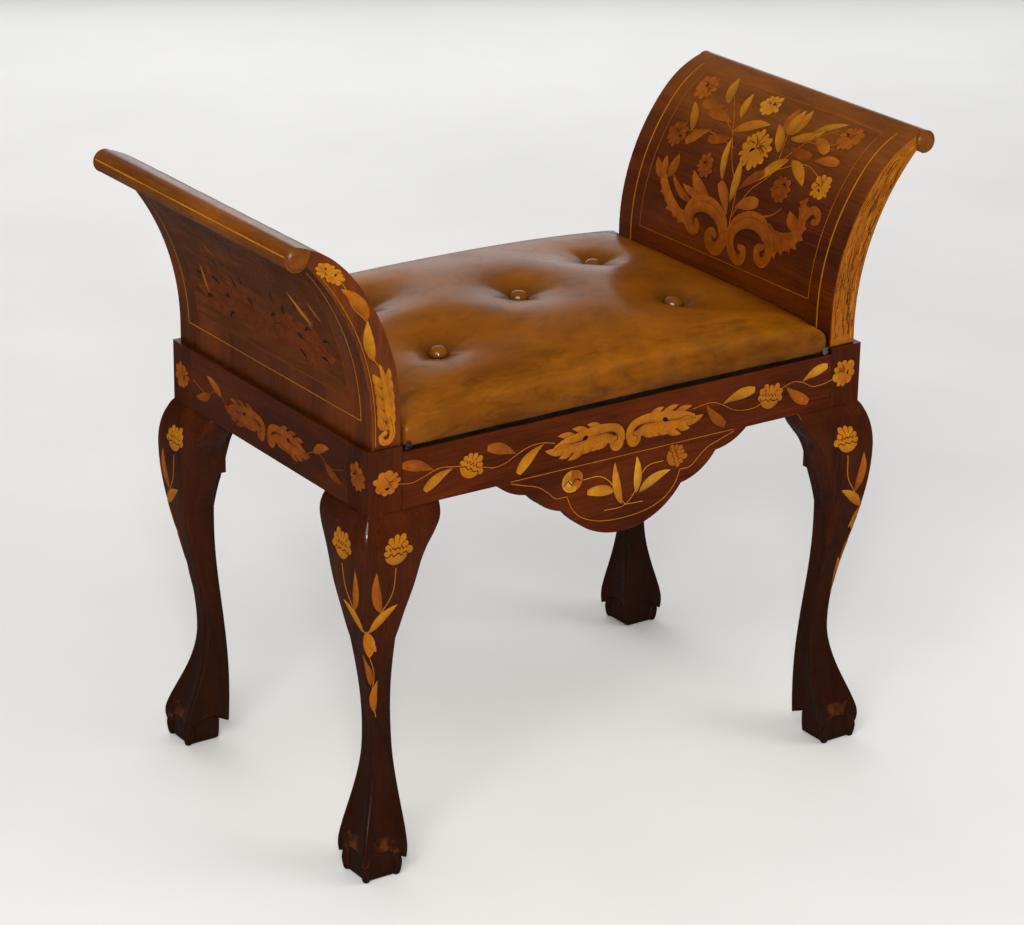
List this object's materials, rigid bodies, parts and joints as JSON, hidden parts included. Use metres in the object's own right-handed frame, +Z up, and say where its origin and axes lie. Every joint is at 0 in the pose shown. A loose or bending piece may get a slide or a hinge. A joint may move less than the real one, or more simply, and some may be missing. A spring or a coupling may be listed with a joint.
{
  "type": "window piano stool",
  "caption": "Marquetry window seat for a piano: scrolled end panels, buttoned leather lid hinged over a shallow music well, scalloped aprons and cabriole legs on claw feet.",
  "frame": {"origin": "on the floor, under the middle of the seat", "axes": "+X along the seat to the right seen from the front, +Y to the back, +Z up"},
  "size_m": [0.723, 0.383, 0.6224],
  "materials": {
    "leg_mahogany": "french polished",
    "rail_mahogany": "french polished",
    "panel_walnut": "french polished veneer",
    "crest_mahogany": "french polished",
    "inner_beech": "bare",
    "lid_black": "black stain",
    "tan_leather": "waxed",
    "stuffing": "curled hair and wadding",
    "hinge_brass": "aged",
    "screw_steel": "plain"
  },
  "bodies": {
    "frame": {"back_apron": "rail_mahogany", "back_rail": "rail_mahogany", "bottom_board": "inner_beech", "bottom_board_screws": "screw_steel", "cleat_back": "inner_beech", "cleat_front": "inner_beech", "cleat_left": "inner_beech", "cleat_right": "inner_beech", "ear_back_left_back": "leg_mahogany", "ear_back_left_side": "leg_mahogany", "ear_back_right_back": "leg_mahogany", "ear_back_right_side": "leg_mahogany", "ear_front_left_front": "leg_mahogany", "ear_front_left_side": "leg_mahogany", "ear_front_right_front": "leg_mahogany", "ear_front_right_side": "leg_mahogany", "end_panel_dowels": "inner_beech", "front_apron": "rail_mahogany", "front_rail": "rail_mahogany", "hinge_left_pin": "hinge_brass", "hinge_left_rail_leaf": "hinge_brass", "hinge_rail_screws": "screw_steel", "hinge_right_pin": "hinge_brass", "hinge_right_rail_leaf": "hinge_brass", "left_crest_roll": "crest_mahogany", "left_end_panel": "panel_walnut", "left_rail": "rail_mahogany", "leg_back_left": "leg_mahogany", "leg_back_right": "leg_mahogany", "leg_front_left": "leg_mahogany", "leg_front_right": "leg_mahogany", "right_crest_roll": "crest_mahogany", "right_end_panel": "panel_walnut", "right_rail": "rail_mahogany", "roundel_back_left": "crest_mahogany", "roundel_back_right": "crest_mahogany", "roundel_front_left": "crest_mahogany", "roundel_front_right": "crest_mahogany"},
    "lid": {"lid_board": "lid_black", "lid_board_screws": "screw_steel", "seat_board": "inner_beech", "seat_stuffing": "stuffing", "leather_cover": "tan_leather", "seat_buttons": "tan_leather", "hinge_left_lid_leaf": "hinge_brass", "hinge_right_lid_leaf": "hinge_brass", "hinge_lid_screws": "screw_steel"}
  },
  "joints": [
    {"name": "lid_hinge", "type": "hinge", "parent": "frame", "child": "lid", "pos_m": [0, 0.1792, 0.41515], "axis": [-1, 0, 0], "range_deg": [0, 100]}
  ]
}
